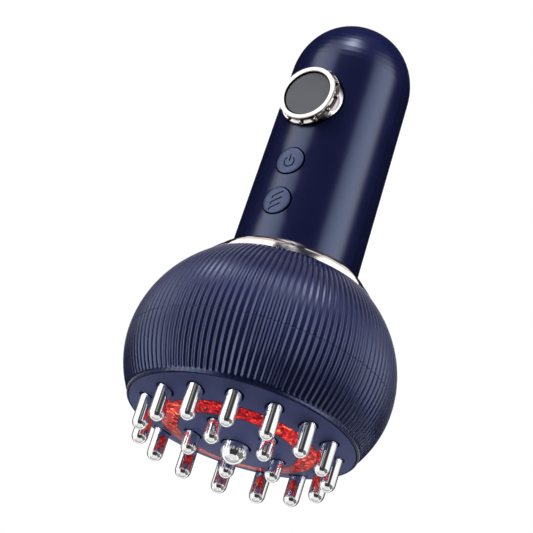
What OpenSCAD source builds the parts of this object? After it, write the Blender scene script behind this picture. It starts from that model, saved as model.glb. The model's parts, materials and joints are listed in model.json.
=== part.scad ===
// Heated body massage brush: a ribbed ball head with heated metal pins on a convex face, a metal
// collar, and a round-topped handle with a dial, a display window and two keys.
// Z runs up along the handle from the plane of the pin tips at Z 0, and the dial faces -Y.

/* [Head] */
// Largest radius of the head, over the crests of the ribs
head_r = 42.5; // [41:0.5:46]
// Height from the lower ends of the ribs to the widest section, where the two housings meet
head_low_h = 18.2; // [17.4:0.2:19.4]
// Height from the widest section to the upper ends of the ribs, under the collar
head_top_h = 29; // [28:0.2:31]
// Half height of the ellipse that shapes the head below its widest section
head_low_b = 36.8; // [35:0.2:40]
// Half height of the ellipse that shapes the head above its widest section
head_top_b = 39.2; // [38:0.2:42]
// Wall of both head housings
head_wall = 2.2; // [1.8:0.1:2.6]

/* [Ribs] */
// Number of ribs around the head
rib_count = 120; // [90:2:130]
// Depth of the grooves between the ribs
rib_depth = 0.35; // [0.2:0.05:0.8]
// Share of the rib pitch that the crest takes
rib_crest = 0.3; // [0.2:0.02:0.7]
// Length over which a groove fades out above the lip
rib_fade = 0.8; // [0.4:0.1:1.5]
// Height of the smooth lip between the face and the ribs
lip_h = 1.0; // [0.8:0.05:1.4]
// Width of the lip around the face plate
lip_w = 0.6; // [0.5:0.05:0.8]

/* [Face] */
// Height of the convex face at its centre, above the pin tips
face_z = 5.85; // [5:0.05:6.5]
// Radius of the ball that the face is part of
face_ball_r = 104; // [95:1:120]
// Wall of the face plate, the light ring and the centre disc
face_wall = 2.2; // [1.8:0.1:2.6]
// Gap between the face plate and the lip
plate_gap = 0.2; // [0.1:0.05:0.3]
// Distance from the circle of the outer pins in to the light ring
ring_in = 4.7; // [4.2:0.1:5.2]
// Width of the light ring
ring_w = 6.35; // [6:0.05:6.8]
// Thickness of the flanges that hold the light ring behind its neighbours
ring_lap_t = 1.0; // [0.6:0.1:1.2]
// Width of those flanges
ring_lap_w = 1.0; // [0.6:0.1:1.2]
// Seam between the light ring and its neighbours
seam = 0.12; // [0.05:0.01:0.2]

/* [Pins] */
// Diameter of the heated pins
pin_d = 5.1; // [4.6:0.1:5.4]
// Number of pins in the outer circle
outer_pins = 15; // [13:1:15]
// Distance from the edge of the face plate in to the circle of the outer pins
outer_pin_in = 6.14; // [5.9:0.02:6.4]
// Number of pins in the inner circle
inner_pins = 5; // [4:1:5]
// Distance from the light ring in to the circle of the inner pins
inner_pin_in = 4.85; // [4.65:0.05:5.15]
// Gap between a pin and the edge of its hole in the face
pin_gap = 0.5; // [0.3:0.05:0.55]
// Diameter of the stub that fixes a pin in the heater plate
pin_stub_d = 3.6; // [3:0.1:4]
// Diameter of the dome in the middle of the face
dome_d = 8.8; // [8:0.1:9.4]
// Diameter of the stub that fixes the dome in the heater plate
dome_stub_d = 5; // [4:0.1:6]

/* [Heater and lights] */
// Thickness of the heater plate that carries the pins
heater_t = 2.0; // [1.6:0.1:2.4]
// Gap between the heater plate and the face plate behind it
heater_gap = 0.35; // [0.25:0.05:0.6]
// Wall of the face plate's rim, which rests on the gasket
rim_wall = 1.9; // [1.5:0.1:2.2]
// Thickness of the heating film on the heater plate
film_t = 0.3; // [0.2:0.05:0.5]
// Thickness of the ring board that carries the red lights
led_board_t = 1.0; // [0.8:0.1:1.2]
// Number of red lights
led_count = 20; // [12:1:24]
// Side of one red light
led_size = 1.8; // [1.4:0.1:2]
// Height of one red light
led_h = 0.6; // [0.4:0.05:0.7]
// Thickness of the gasket between the face plate and its seat
gasket_t = 0.6; // [0.4:0.1:0.9]
// Thickness of the seat flange in the lower housing
seat_t = 2.0; // [1.6:0.1:2.4]

/* [Screws] */
// Shank diameter of the small screws of the face, the motor and the board
small_screw_d = 2.0; // [1.8:0.1:2.2]
// Head diameter of the small screws
small_head_d = 3.6; // [3.2:0.1:3.8]
// Head height of the small screws
small_head_h = 1.3; // [1:0.1:1.5]
// Shank diameter of the case screws
case_screw_d = 2.5; // [2.3:0.1:2.7]
// Head diameter of the case screws
case_head_d = 4.6; // [4.2:0.1:4.8]
// Head height of the case screws
case_head_h = 1.8; // [1.5:0.1:2]
// Depth that a case screw reaches into its boss
case_screw_bite = 6; // [5:0.5:7]
// Gap around a screw's shank where it passes through a piece
screw_gap = 0.15; // [0.1:0.05:0.2]

/* [Motor] */
// Diameter of the vibration motor
motor_d = 24; // [22:0.5:26]
// Length of the motor's can
motor_l = 14; // [12:0.5:15]
// Diameter of the motor's shaft
shaft_d = 2.0; // [1.6:0.1:2.4]
// Gap between the shaft and the motor's bearing
bearing_gap = 0.05; // [0.02:0.01:0.08]
// Outer radius of the eccentric weight
weight_r = 10; // [8:0.5:11]
// Thickness of the eccentric weight
weight_t = 5; // [4:0.5:5.5]
// Thickness of the motor bracket
bracket_t = 2.0; // [1.6:0.1:2.4]
// Height of the motor bracket above the face plate's seat
bracket_up = 8.6; // [8.2:0.1:9.4]

/* [Collar] */
// Height of the collar's lower band
collar_low_h = 3.4; // [3:0.1:3.8]
// Height of the collar's upper band
collar_top_h = 2.5; // [2.2:0.1:3]
// Radius of the bead line between the two bands
collar_mid_r = 25.5; // [25.2:0.1:25.8]
// Radius of the collar's top edge
collar_top_r = 23.1; // [22.6:0.1:23.6]
// Gap between the collar and the handle
collar_gap = 0.25; // [0.15:0.05:0.35]
// Thickness of the collar's inner lip, clamped under the handle
collar_lip_t = 0.8; // [0.6:0.1:1]

/* [Handle] */
// Radius of the handle where it leaves the collar
handle_low_r = 20.47; // [20:0.05:21]
// Radius of the handle where its dome begins
handle_top_r = 19.33; // [18.9:0.05:19.8]
// Length of the handle from the collar to its dome
handle_l = 67.2; // [65.6:0.2:75]
// Height of the dome
handle_dome_h = 20.8; // [19:0.1:23]
// Fullness of the dome: 2 is an ellipse and more is squarer
handle_dome_n = 2.08; // [2:0.02:2.4]
// Wall of the handle
handle_wall = 2.0; // [1.6:0.1:2.2]

/* [Keys] */
// Diameter of the two keys
key_d = 9.3; // [9:0.1:10]
// Gap around each key
key_gap = 0.35; // [0.2:0.05:0.4]
// Height of the power key above the collar
power_key_up = 28.6; // [28:0.1:29.4]
// Height of the mode key above the collar
mode_key_up = 14.1; // [13.7:0.1:14.7]
// How far the keys stand out of the handle
key_proud = 0.3; // [0.1:0.05:0.6]
// Travel of the keys
key_travel = 0.8; // [0.5:0.1:0.9]
// Width of the lip that keeps a key in the handle
key_lip = 0.95; // [0.7:0.05:1.1]
// Side of the square switch body
switch_w = 6.0; // [5.4:0.1:6.4]
// Height of the switch body
switch_h = 2.4; // [2.1:0.1:2.5]
// Diameter of the switch plunger
plunger_d = 3.1; // [2.6:0.1:3.4]

/* [Dial] */
// Height of the dial's axis above the collar
dial_up = 52; // [51:0.1:53]
// Distance of the dial's front from the handle's axis
dial_front = 22.95; // [22.7:0.05:23.4]
// Radius of the dial's front, over its edge
dial_front_r = 9.6; // [9.4:0.05:9.8]
// Radius of the dial where it meets its base
dial_low_r = 10.0; // [9.9:0.05:10.2]
// Radius of the dial's fixed base
dial_base_r = 10.1; // [10:0.05:10.3]
// Distance of the base's front from the handle's axis
dial_base_front = 20.0; // [19.9:0.02:20.1]
// Gap between the dial and its base
dial_gap = 0.15; // [0.12:0.02:0.25]
// Height of the dial's rounded front ring
bezel_h = 1.0; // [0.8:0.05:1.1]
// Number of finger scoops around the dial, with an arm between each two
dial_scoops = 12; // [10:1:12]
// Depth of the scoops behind the front ring
scoop_depth = 0.7; // [0.4:0.05:0.8]
// Width of the arms between the scoops
arm_d = 1.0; // [0.8:0.05:1.2]
// Diameter of the bead at the end of each arm
bead_d = 1.5; // [1.2:0.1:1.7]
// Radius of the display window
window_r = 7.7; // [7.4:0.05:7.75]
// Thickness of the display window
window_t = 1.4; // [1:0.1:1.6]
// Depth of the window below the dial's front
window_drop = 0.9; // [0.7:0.05:1.1]
// Gap between the window and the dial
window_gap = 0.28; // [0.2:0.02:0.35]
// Wall of the dial's sleeve
sleeve_wall = 0.8; // [0.6:0.05:0.85]
// Gap between the sleeve and the base's bore
sleeve_gap = 0.08; // [0.05:0.01:0.1]
// Wall of the magnet ring on the sleeve's end
magnet_wall = 0.6; // [0.5:0.05:0.65]

/* [Inside the handle] */
// Distance of the main board's front from the handle's axis
board_front = 11.6; // [11.3:0.1:11.7]
// Thickness of the main board
board_t = 1.2; // [1:0.1:1.6]
// Diameter of the battery
battery_d = 18.4; // [16:0.2:18.6]
// Length of the battery
battery_l = 50; // [46:1:51]
// Wall of the chassis
chassis_wall = 1.5; // [1.2:0.1:1.8]
// Gap between the battery and the chassis
battery_gap = 0.1; // [0.05:0.05:0.3]
// Height of the charging socket above the collar
port_up = 5.5; // [5.2:0.1:6.5]
// Width of the charging socket
port_w = 8.94; // [8.6:0.02:9.2]
// Height of the socket's shell
port_h = 3.2; // [3:0.05:3.4]
// Depth of the socket's shell
port_depth = 7.3; // [6.8:0.1:7.8]
// Gap between the socket and the handle's opening
port_gap = 0.15; // [0.1:0.05:0.3]
// Diameter of the leads
lead_d = 1.6; // [1.2:0.1:1.8]

/* [Hidden] */
$fn = 96;
ball_fn = 200;
// Small overlap of fused solids, and a length longer than the object
eps = 0.01;
far = 200;
// Clearance between pieces that stay apart
clear = 0.3;
function pin_name(kind, i, digits) = str(kind, (digits > 1 && i < 10) ? "0" : "", i);

navy = [0.17, 0.18, 0.34];
navy_satin = [0.10, 0.10, 0.27];
face_navy = [0.25, 0.26, 0.42];
key_blue = [0.34, 0.37, 0.50];
champagne = [0.86, 0.78, 0.70];
chrome = [0.82, 0.83, 0.85];
steel = [0.62, 0.64, 0.67];
board_green = [0.12, 0.38, 0.22];
black = [0.10, 0.10, 0.11];

// Convex face: height of the surface that lies depth t behind the front, at radius r
function face_h(r, t = 0) = face_z + face_ball_r - sqrt(pow(face_ball_r - t, 2) - r * r);

// Head: its radius at a distance dz above the widest section, and its heights from the face up
function head_shape(dz) = head_r * sqrt(1 - pow(dz / (dz < 0 ? head_low_b : head_top_b), 2));
rim_r = head_shape(-head_low_h);
face_r = rim_r - lip_w;
rim_z = face_h(face_r);
rib_low_z = rim_z + lip_h;
head_mid_z = rib_low_z + head_low_h;
rib_top_z = head_mid_z + head_top_h;
function head_radius(z) = head_shape(z - head_mid_z);

// Rings of ribs from the lip to the collar: height, radius over the crests, and groove depth
lip_round = 0.35;
rib_low_a = asin((head_low_h - rib_fade) / head_low_b);
rib_top_a = asin(head_top_h / head_top_b);
rib_steps_low = 5;
rib_steps_top = 8;
low_levels = concat(
    [[rim_z, rim_r - lip_round, 0], [rim_z + lip_round * 0.4, rim_r - lip_round * 0.3, 0],
     [rim_z + lip_round, rim_r, 0], [rib_low_z, rim_r, 0]],
    [for (k = [rib_steps_low:-1:0]) let (a = rib_low_a * k / rib_steps_low)
        [head_mid_z - head_low_b * sin(a), head_r * cos(a), rib_depth]]);
top_levels = [for (k = [0:rib_steps_top]) let (a = rib_top_a * k / rib_steps_top)
    [head_mid_z + head_top_b * sin(a), head_r * cos(a), rib_depth]];
// Two crest points and one groove point for each rib, at height z, radius r and groove depth d
function rib_ring(z, r, d) = [for (i = [0:rib_count - 1], k = [0:2])
    let (turn = [-rib_crest / 2, rib_crest / 2, 0.5][k], a = (i + turn) * 360 / rib_count)
    let (rr = k == 2 ? r - d : r) [rr * cos(a), rr * sin(a), z]];

// Pins, their holes, and the screw bosses between them
pin_r = pin_d / 2;
dome_r = dome_d / 2;
pin_hole_r = pin_r + pin_gap;
boss_r = 2.0;
plate_bosses = 5;
plate_turns = [for (i = [0:plate_bosses - 1])
    (floor(i * outer_pins / plate_bosses) + 0.5) * 360 / outer_pins];
disc_turns = [for (i = [0:inner_pins - 1]) (i + 0.5) * 360 / inner_pins];

// Circles of the face, from its edge inwards
plate_r = face_r - plate_gap;
outer_pin_r = plate_r - outer_pin_in;
ring_outer_r = outer_pin_r - ring_in;
ring_inner_r = ring_outer_r - ring_w;
inner_pin_r = ring_inner_r - inner_pin_in;

// Face plate's rim, heater plate and seat, from the face upwards
land_rise = 1.2;
land_r = plate_r - rim_wall;
heater_r = land_r - 2 * clear;
heater_z = face_h(heater_r, face_wall) + heater_gap;
heater_top_z = heater_z + heater_t;
land_z = heater_z + land_rise;
seat_z = land_z + gasket_t;
seat_top_z = seat_z + seat_t;

// Walls that keep the light in its ring, and the lights between them
dam_wall = 0.6;
dam_inner_r = ring_inner_r - ring_lap_w;
dam_outer_r = ring_outer_r + ring_lap_w;
disc_boss_circle_r = (dome_r + pin_gap + dam_inner_r) / 2;
led_circle_r = (ring_inner_r + ring_outer_r) / 2;
led_board_gap = 0.2;

// Tabs of the lower housing over the plate's bosses, the film inside them, and the face screws
tab_w = 6;
tab_t = seat_top_z - heater_top_z;
film_r = outer_pin_r - tab_w / 2 - clear;
film_tab_w = 4;
film_tab_l = 3.5;
plate_screw_bite = 3;
disc_screw_bite = 2.2;

// Snap joint of the two housings
tongue_wall = 1.3;
tongue_h = 3;
tongue_gap = 0.15;
tongue_r = head_radius(head_mid_z + tongue_h) - head_wall - tongue_gap;
tongue_base_h = 2.5;
snap_h = 0.8;
snap_bead = 0.3;
snap_gap = 0.2;
snap_z = head_mid_z + 1.6;
wall_growth = 0.35;

// Motor on its bracket, and the weight below it
bracket_turns = [for (t = plate_turns) t + 180 / plate_bosses];
post_r = 3.0;
post_inset = 2.2;
post_circle_r = tongue_r - tongue_wall - post_r - post_inset;
post_low_z = max(heater_top_z, seat_z) + clear;
lug_r = post_r + 0.5;
bracket_z = seat_top_z + bracket_up;
bracket_top_z = bracket_z + bracket_t;
bracket_edge = 3;
bracket_disc_r = motor_d / 2 + bracket_edge;
bracket_screw_bite = 6;
motor_boss_r = 3.5;
motor_screw_circle_r = 8;
motor_screw_bite = 3;
motor_top_z = bracket_top_z + motor_l;
terminal_x = 4.6;
terminal_t = 0.8;
terminal_h = 2.6;
shaft_in_motor = 3.5;
shaft_low_z = bracket_z - small_head_h - clear - weight_t;

// Neck of the upper housing, the collar around it, and the handle's foot on it
neck_wall = 2.2;
neck_h = 2.0;
neck_low_z = rib_top_z - neck_wall;
neck_z = rib_top_z + neck_h;
neck_r = collar_mid_r - 0.6;
neck_bore_r = 10.5;
collar_low_r = head_radius(rib_top_z) - 0.1;
collar_mid_z = rib_top_z + collar_low_h;
collar_top_z = collar_mid_z + collar_top_h;
collar_bore_r = handle_low_r + collar_gap;
collar_bead = 0.18;
collar_low_bulge = 0.08;
collar_top_bulge = 0.15;
handle_foot_z = neck_z + collar_lip_t;

// Handle: its radius at a height below the dome, and the dome's outline
handle_dome_z = collar_top_z + handle_l;
handle_taper = (handle_low_r - handle_top_r) / handle_l;
function handle_radius(z) = handle_low_r - handle_taper * (z - collar_top_z);
function bore_radius(z) = handle_radius(z) - handle_wall;
dome_steps = 18;
function dome_outline(r, z, h) = [for (k = [0:dome_steps]) let (a = 90 * k / dome_steps)
    [r * pow(cos(a), 2 / handle_dome_n), z + h * pow(sin(a), 2 / handle_dome_n)]];

// Chassis foot, and the four bosses in which the handle's screws end
foot_t = 2.0;
foot_z = neck_z + foot_t;
foot_r = 12.4;
foot_arm_w = 3.2;
case_screws = 4;
case_boss_r = 2.9;
case_boss_circle_r = bore_radius(foot_z) + clear - case_boss_r;
case_boss_end = 3;
case_boss_top_z = foot_z + case_screw_bite + case_boss_end;

// Keys, their plungers and switches, measured outwards from the handle's axis
power_key_z = collar_top_z + power_key_up;
mode_key_z = collar_top_z + mode_key_up;
key_r = key_d / 2;
key_lip_r = key_r + key_lip;
key_lip_t = 1.3;
function key_lip_front(z) = sqrt(pow(bore_radius(z), 2) - pow(key_lip_r, 2)) - clear;
switch_floor = board_front + 0.5;
plunger_r = plunger_d / 2;
plunger_gap = 0.1;
plunger_low = switch_floor + key_travel + 0.2;

// Dial: a crown on a sleeve that turns in the base, held by a magnet ring behind a step
dial_z = collar_top_z + dial_up;
dial_bottom = dial_base_front + dial_gap;
sleeve_bore_r = window_r + window_gap;
sleeve_r = sleeve_bore_r + sleeve_wall;
base_bore_r = sleeve_r + sleeve_gap;
magnet_h = 1.4;
magnet_low = board_front + 1.8;
step_low = magnet_low + magnet_h + 0.2;
step_r = sleeve_r + magnet_wall + 0.2;
base_fit = 0.05;
saddle_r = dial_base_r + 1.6;
saddle_back = board_front + 0.2;
saddle_fit = 0.02;
crown_chamfer = 0.15;
bezel_round = 0.55;
bezel_mid_r = (dial_front_r + sleeve_bore_r) / 2;
bezel_low = dial_front - bezel_h;
arm_circle_r = dial_front_r - arm_d / 2 + 0.15;
bead_circle_r = dial_low_r - bead_d / 4;
bead_z = dial_bottom + bead_d / 2 - 0.1;
window_front = dial_front - window_drop;
holder_wall = 0.9;
holder_front = window_front - window_t;
display_t = 1;
display_depth = 3;
display_back = holder_front - display_depth;
screen_w = 9;
screen_h = 6;
screen_t = 1.2;

// Board, battery and chassis
standoff = 0.8;
board_back = board_front - board_t;
chassis_front = board_back - standoff;
chassis_back = chassis_front - chassis_wall;
board_up = 1.5;
board_low_z = case_boss_top_z + board_up;
board_over = 1;
board_top_z = dial_z + saddle_r + board_over;
board_half_w = sqrt(pow(bore_radius(board_top_z) - clear, 2) - pow(board_front, 2));
board_screw_zs = [(power_key_z + mode_key_z) / 2, dial_z - saddle_r - small_head_d / 2 - 0.7];
battery_r = battery_d / 2;
battery_y = battery_gap + battery_r - chassis_back;
battery_up = 3.5;
battery_z = board_low_z + battery_up;
shelf_t = 1.6;
shelf_reach = 4;
shelf_depth = battery_y + chassis_front + shelf_reach;
channel_z = battery_z - shelf_t;
channel_h = battery_l + 2 * shelf_t;
channel_half_w = battery_r + battery_gap + chassis_wall;
neck_half_w = 8;

// Charging socket in the handle's rear
port_z = collar_top_z + port_up;
port_wall = 0.3;
port_front = sqrt(pow(handle_radius(port_z), 2) - pow(port_w / 2, 2)) - 0.15;
socket_board_t = 1.0;
socket_board_half_w = 6.5;
socket_board_z = port_z - port_h / 2 - socket_board_t;
socket_board_end = sqrt(pow(bore_radius(port_z), 2) - pow(socket_board_half_w, 2)) - clear;
wire_bore_r = 6;
socket_post = 3.2;

// Leads: the motor's pair goes straight up, the film's pair steps inwards on its way
lead_run_z = channel_z - lead_d / 2 - clear;
motor_lead_y = -(terminal_t + lead_d) / 2;
film_turn = plate_turns[2] - 180;
film_lead_x = 1.2;
film_lead_r = dam_inner_r - 1.25;
film_lead_top_r = wire_bore_r - lead_d / 2 - 0.9;
film_step_z = motor_top_z + 3.5;
film_step_h = 5;
elbow_d = lead_d + 0.1;

// Solid inside rings of ribs, one ring for each level
module ribbed_solid(levels) {
    n = rib_count * 3;
    last = len(levels) - 1;
    rings = [for (l = levels) each rib_ring(l[0], l[1], l[2])];
    ends = [[0, 0, levels[0][0]], [0, 0, levels[last][0]]];
    sides = [for (j = [0:last - 1], i = [0:n - 1]) let (m = (i + 1) % n)
        each [[j * n + i, (j + 1) * n + m, j * n + m], [j * n + i, (j + 1) * n + i, (j + 1) * n + m]]];
    low_cap = [for (i = [0:n - 1]) [(last + 1) * n, i, (i + 1) % n]];
    top_cap = [for (i = [0:n - 1]) [(last + 1) * n + 1, last * n + (i + 1) % n, last * n + i]];
    polyhedron(points = concat(rings, ends), faces = concat(sides, low_cap, top_cap), convexity = 6);
}

// Piece of the convex face between two radii, from depth t0 to depth t1 behind its front
module face_shell(r0, r1, t0, t1) {
    difference() {
        intersection() {
            translate([0, 0, face_z + face_ball_r]) sphere(face_ball_r - t0, $fn = ball_fn);
            cylinder(r = r1, h = face_ball_r / 2);
        }
        translate([0, 0, face_z + face_ball_r]) sphere(face_ball_r - t1, $fn = ball_fn);
        if (r0 > 0) cylinder(r = r0, h = face_ball_r);
    }
}

// Children at given turns on a circle, the first turn counted from -Y
module at_turns(turns, r) {
    for (a = turns) rotate([0, 0, a - 90]) translate([r, 0, 0]) children();
}

// Children spaced evenly around a circle
module around(count, r, turn = 0) {
    at_turns([for (i = [0:count - 1]) turn + i * 360 / count], r) children();
}

// Ring with a flat section
module ring(r0, r1, h) {
    difference() {
        cylinder(r = r1, h = h);
        translate([0, 0, -1]) cylinder(r = r0, h = h + 2);
    }
}

// Screw with its head up, its shank going down from Z 0
module screw(d, head_d, head_h, l) {
    difference() {
        union() {
            translate([0, 0, -l]) cylinder(d = d, h = l + head_h / 2);
            cylinder(d1 = head_d, d2 = head_d * 0.9, h = head_h);
        }
        translate([0, 0, head_h / 2]) cylinder(d = head_d * 0.45, h = head_h, $fn = 6);
    }
}

module small_screw(l) { screw(small_screw_d, small_head_d, small_head_h, l); }
module case_screw(l) { screw(case_screw_d, case_head_d, case_head_h, l); }

// Hole that a screw passes through, from height z up
module small_hole(z, h = far) { translate([0, 0, z]) cylinder(d = small_screw_d + 2 * screw_gap, h = h); }
module case_hole(z, h = far) { translate([0, 0, z]) cylinder(d = case_screw_d + 2 * screw_gap, h = h); }

// Frame of the dial and the keys: Z points out of the front of the handle, Y points up
module on_front(z) {
    translate([0, 0, z]) rotate([90, 0, 0]) children();
}

// Bar with round ends along X, t thick along Y and h long along Z
module round_bar(w, t, h) {
    for (s = [-1, 1]) translate([s * (w - t) / 2, 0, 0]) cylinder(d = t, h = h);
    translate([-(w - t) / 2, -t / 2, 0]) cube([w - t, t, h]);
}

// Solid inside the handle's outer surface, from height z0 up, smaller by a margin
module handle_solid(margin, z0) {
    rotate_extrude() polygon(concat([[0, z0], [handle_radius(z0) - margin, z0]],
        dome_outline(handle_top_r - margin, handle_dome_z, handle_dome_h - margin)));
}

// Inner space of the lower housing, from the face up past the parting plane
module lower_cavity() {
    steps = 6;
    wall = [for (k = [0:steps]) let (z = seat_top_z + (head_mid_z - seat_top_z) * k / steps)
        [head_radius(z) - head_wall, z]];
    rotate_extrude() polygon(concat([[0, rim_z - 1], [face_r, rim_z - 1], [face_r, seat_z],
        [land_r, seat_z], [land_r, seat_top_z]], wall,
        [[wall[steps][0], head_mid_z + 1], [0, head_mid_z + 1]]));
}

// Posts for the motor bracket and tabs for the face screws, grown out of the lower housing's wall
module lower_posts() {
    at_turns(bracket_turns, post_circle_r) translate([0, 0, post_low_z]) {
        cylinder(r = post_r, h = bracket_z - post_low_z);
        translate([0, -post_r, 0]) cube([head_r - head_wall / 2 - post_circle_r, 2 * post_r,
            bracket_z - post_low_z]);
    }
    at_turns(plate_turns, outer_pin_r) translate([0, 0, heater_top_z]) {
        cylinder(d = tab_w, h = tab_t);
        translate([0, -tab_w / 2, 0]) cube([land_r - outer_pin_r + 1, tab_w, tab_t]);
    }
}

module lower_housing() {
    color(navy) {
        difference() {
            ribbed_solid(low_levels);
            difference() {
                lower_cavity();
                lower_posts();
            }
            at_turns(bracket_turns, post_circle_r)
                translate([0, 0, bracket_z - bracket_screw_bite - 1.5]) cylinder(d = case_screw_d, h = far);
            at_turns(plate_turns, outer_pin_r) small_hole(heater_top_z - 1);
        }
        housing_tongue();
    }
}

// Tongue with a snap bead, which stands above the parting plane
module housing_tongue() {
    inner_r = tongue_r - tongue_wall;
    base_r = head_r - head_wall + 0.15;
    top_z = head_mid_z + tongue_h;
    rotate_extrude() polygon([[inner_r, head_mid_z - tongue_base_h], [base_r, head_mid_z - tongue_base_h],
        [base_r, head_mid_z], [tongue_r, head_mid_z], [tongue_r, snap_z],
        [tongue_r + snap_bead, snap_z + snap_h / 2], [tongue_r, snap_z + snap_h],
        [tongue_r, top_z - 0.4], [tongue_r - 0.4, top_z], [inner_r, top_z]]);
}

// Inner space of the upper housing, with a groove for the snap bead
module upper_cavity() {
    steps = 10;
    wall = [for (k = [0:steps]) let (z = head_mid_z + (neck_low_z - head_mid_z) * k / steps)
        [head_radius(z) - head_wall * (1 + wall_growth * k / steps), z]];
    rotate_extrude() polygon(concat([[0, head_mid_z - 1], [wall[0][0], head_mid_z - 1]],
        wall, [[0, neck_low_z]]));
    translate([0, 0, snap_z - snap_gap])
        cylinder(r = tongue_r + snap_bead + snap_gap, h = snap_h + 2 * snap_gap);
}

module upper_housing() {
    color(navy) difference() {
        union() {
            difference() {
                ribbed_solid(top_levels);
                upper_cavity();
            }
            translate([0, 0, neck_low_z]) cylinder(r = neck_r, h = neck_z - neck_low_z);
        }
        cylinder(r = neck_bore_r, h = far);
        around(case_screws, case_boss_circle_r, 180 / case_screws) case_hole(neck_low_z - 1);
    }
}

module face_plate() {
    color(face_navy) difference() {
        union() {
            face_shell(ring_outer_r + seam / 2, plate_r, 0, face_wall);
            intersection() {
                face_shell(land_r, plate_r, face_wall / 2, face_ball_r / 2);
                cylinder(r = plate_r, h = land_z);
            }
            screw_bosses(plate_turns, outer_pin_r);
        }
        around(outer_pins, outer_pin_r) cylinder(r = pin_hole_r, h = far);
        at_turns(plate_turns, outer_pin_r)
            translate([0, 0, heater_z - plate_screw_bite]) cylinder(d = small_screw_d, h = far);
    }
}

// Screw bosses from the back of the face up to the heater plate
module screw_bosses(turns, r) {
    z = face_h(r, face_wall / 2);
    at_turns(turns, r) translate([0, 0, z]) cylinder(r = boss_r, h = heater_z - z);
}

module light_ring() {
    color([0.85, 0.10, 0.12, 0.8]) {
        face_shell(ring_inner_r + seam / 2, ring_outer_r - seam / 2, 0, face_wall + ring_lap_t);
        face_shell(dam_inner_r, dam_outer_r, face_wall, face_wall + ring_lap_t);
        light_dam(dam_inner_r);
        light_dam(dam_outer_r - dam_wall);
    }
}

// Thin wall that keeps the light in the ring and stands against the heater plate
module light_dam(r) {
    z = face_h(r + dam_wall, face_wall + ring_lap_t / 2);
    translate([0, 0, z]) ring(r, r + dam_wall, heater_z - z);
}

module centre_disc() {
    color(face_navy) difference() {
        union() {
            face_shell(0, ring_inner_r - seam / 2, 0, face_wall);
            screw_bosses(disc_turns, disc_boss_circle_r);
        }
        around(inner_pins, inner_pin_r) cylinder(r = pin_hole_r, h = far);
        cylinder(r = dome_r + pin_gap, h = far);
        at_turns(disc_turns, disc_boss_circle_r)
            translate([0, 0, heater_z - disc_screw_bite]) cylinder(d = small_screw_d, h = far);
    }
}

// Round-tipped post from Z 0 to the heater plate, with a stub through the plate
module post(r, stub_r) {
    translate([0, 0, r]) sphere(r);
    translate([0, 0, r]) cylinder(r = r, h = heater_z - r);
    translate([0, 0, heater_z - eps]) cylinder(r = stub_r, h = heater_t + eps);
}

module outer_pin(i) {
    color(chrome) at_turns([(i - 1) * 360 / outer_pins], outer_pin_r) post(pin_r, pin_stub_d / 2);
}

module inner_pin(i) {
    color(chrome) at_turns([(i - 1) * 360 / inner_pins], inner_pin_r) post(pin_r, pin_stub_d / 2);
}

module centre_dome() {
    color(chrome) post(dome_r, dome_stub_d / 2);
}

module heater_plate() {
    color([0.72, 0.73, 0.75]) difference() {
        translate([0, 0, heater_z]) cylinder(r = heater_r, h = heater_t);
        around(outer_pins, outer_pin_r) cylinder(d = pin_stub_d, h = far);
        around(inner_pins, inner_pin_r) cylinder(d = pin_stub_d, h = far);
        cylinder(d = dome_stub_d, h = far);
        at_turns(plate_turns, outer_pin_r) small_hole(0);
        at_turns(disc_turns, disc_boss_circle_r) small_hole(0);
    }
}

// Heating film around the light ring's radius, with a tab that takes its leads
module heating_film() {
    color([0.75, 0.45, 0.15]) translate([0, 0, heater_top_z]) {
        ring(dam_inner_r, film_r, film_t);
        rotate([0, 0, film_turn]) translate([-film_tab_w / 2, dam_inner_r - film_tab_l, 0])
            cube([film_tab_w, film_tab_l + 0.5, film_t]);
    }
}

module led_board() {
    z = heater_z - led_board_t;
    color(board_green) translate([0, 0, z])
        ring(dam_inner_r + dam_wall + led_board_gap, dam_outer_r - dam_wall - led_board_gap, led_board_t);
    color([0.95, 0.35, 0.25]) around(led_count, led_circle_r) translate([0, 0, z - led_h / 2 + eps])
        cube([led_size, led_size, led_h], center = true);
}

module face_screws() {
    color(chrome) {
        at_turns(plate_turns, outer_pin_r) translate([0, 0, seat_top_z])
            small_screw(tab_t + heater_t + plate_screw_bite);
        at_turns(disc_turns, disc_boss_circle_r) translate([0, 0, heater_top_z])
            small_screw(heater_t + disc_screw_bite);
    }
}

module face_gasket() {
    color(black) translate([0, 0, land_z]) ring(land_r, plate_r - 0.2, gasket_t);
}

module motor_bracket() {
    arm_l = post_circle_r - motor_d / 4;
    color(steel) difference() {
        translate([0, 0, bracket_z]) linear_extrude(bracket_t) {
            circle(r = bracket_disc_r);
            at_turns(bracket_turns, post_circle_r) {
                circle(r = lug_r);
                translate([-arm_l, -post_r]) square([arm_l, 2 * post_r]);
            }
        }
        cylinder(r = motor_boss_r, h = far);
        at_turns(bracket_turns, post_circle_r) case_hole(0);
        around(2, motor_screw_circle_r) small_hole(0);
    }
}

// Motor can with a boss in the bracket, a blind bore for the shaft, and two terminals
module motor() {
    edge = 1;
    color([0.75, 0.75, 0.77]) difference() {
        union() {
            rotate_extrude() polygon([[0, bracket_top_z], [motor_d / 2, bracket_top_z],
                [motor_d / 2, motor_top_z - edge], [motor_d / 2 - edge, motor_top_z], [0, motor_top_z]]);
            translate([0, 0, bracket_z]) cylinder(r = motor_boss_r, h = bracket_t + eps);
            for (s = [-1, 1]) translate([s * terminal_x - 0.9, -terminal_t / 2, motor_top_z - eps])
                cube([1.8, terminal_t, terminal_h]);
        }
        translate([0, 0, bracket_z - 1])
            cylinder(d = shaft_d + 2 * bearing_gap, h = bracket_t + shaft_in_motor + clear + 1);
        around(2, motor_screw_circle_r)
            translate([0, 0, bracket_z]) cylinder(d = small_screw_d, h = bracket_t + motor_screw_bite + 0.5);
    }
}

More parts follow.
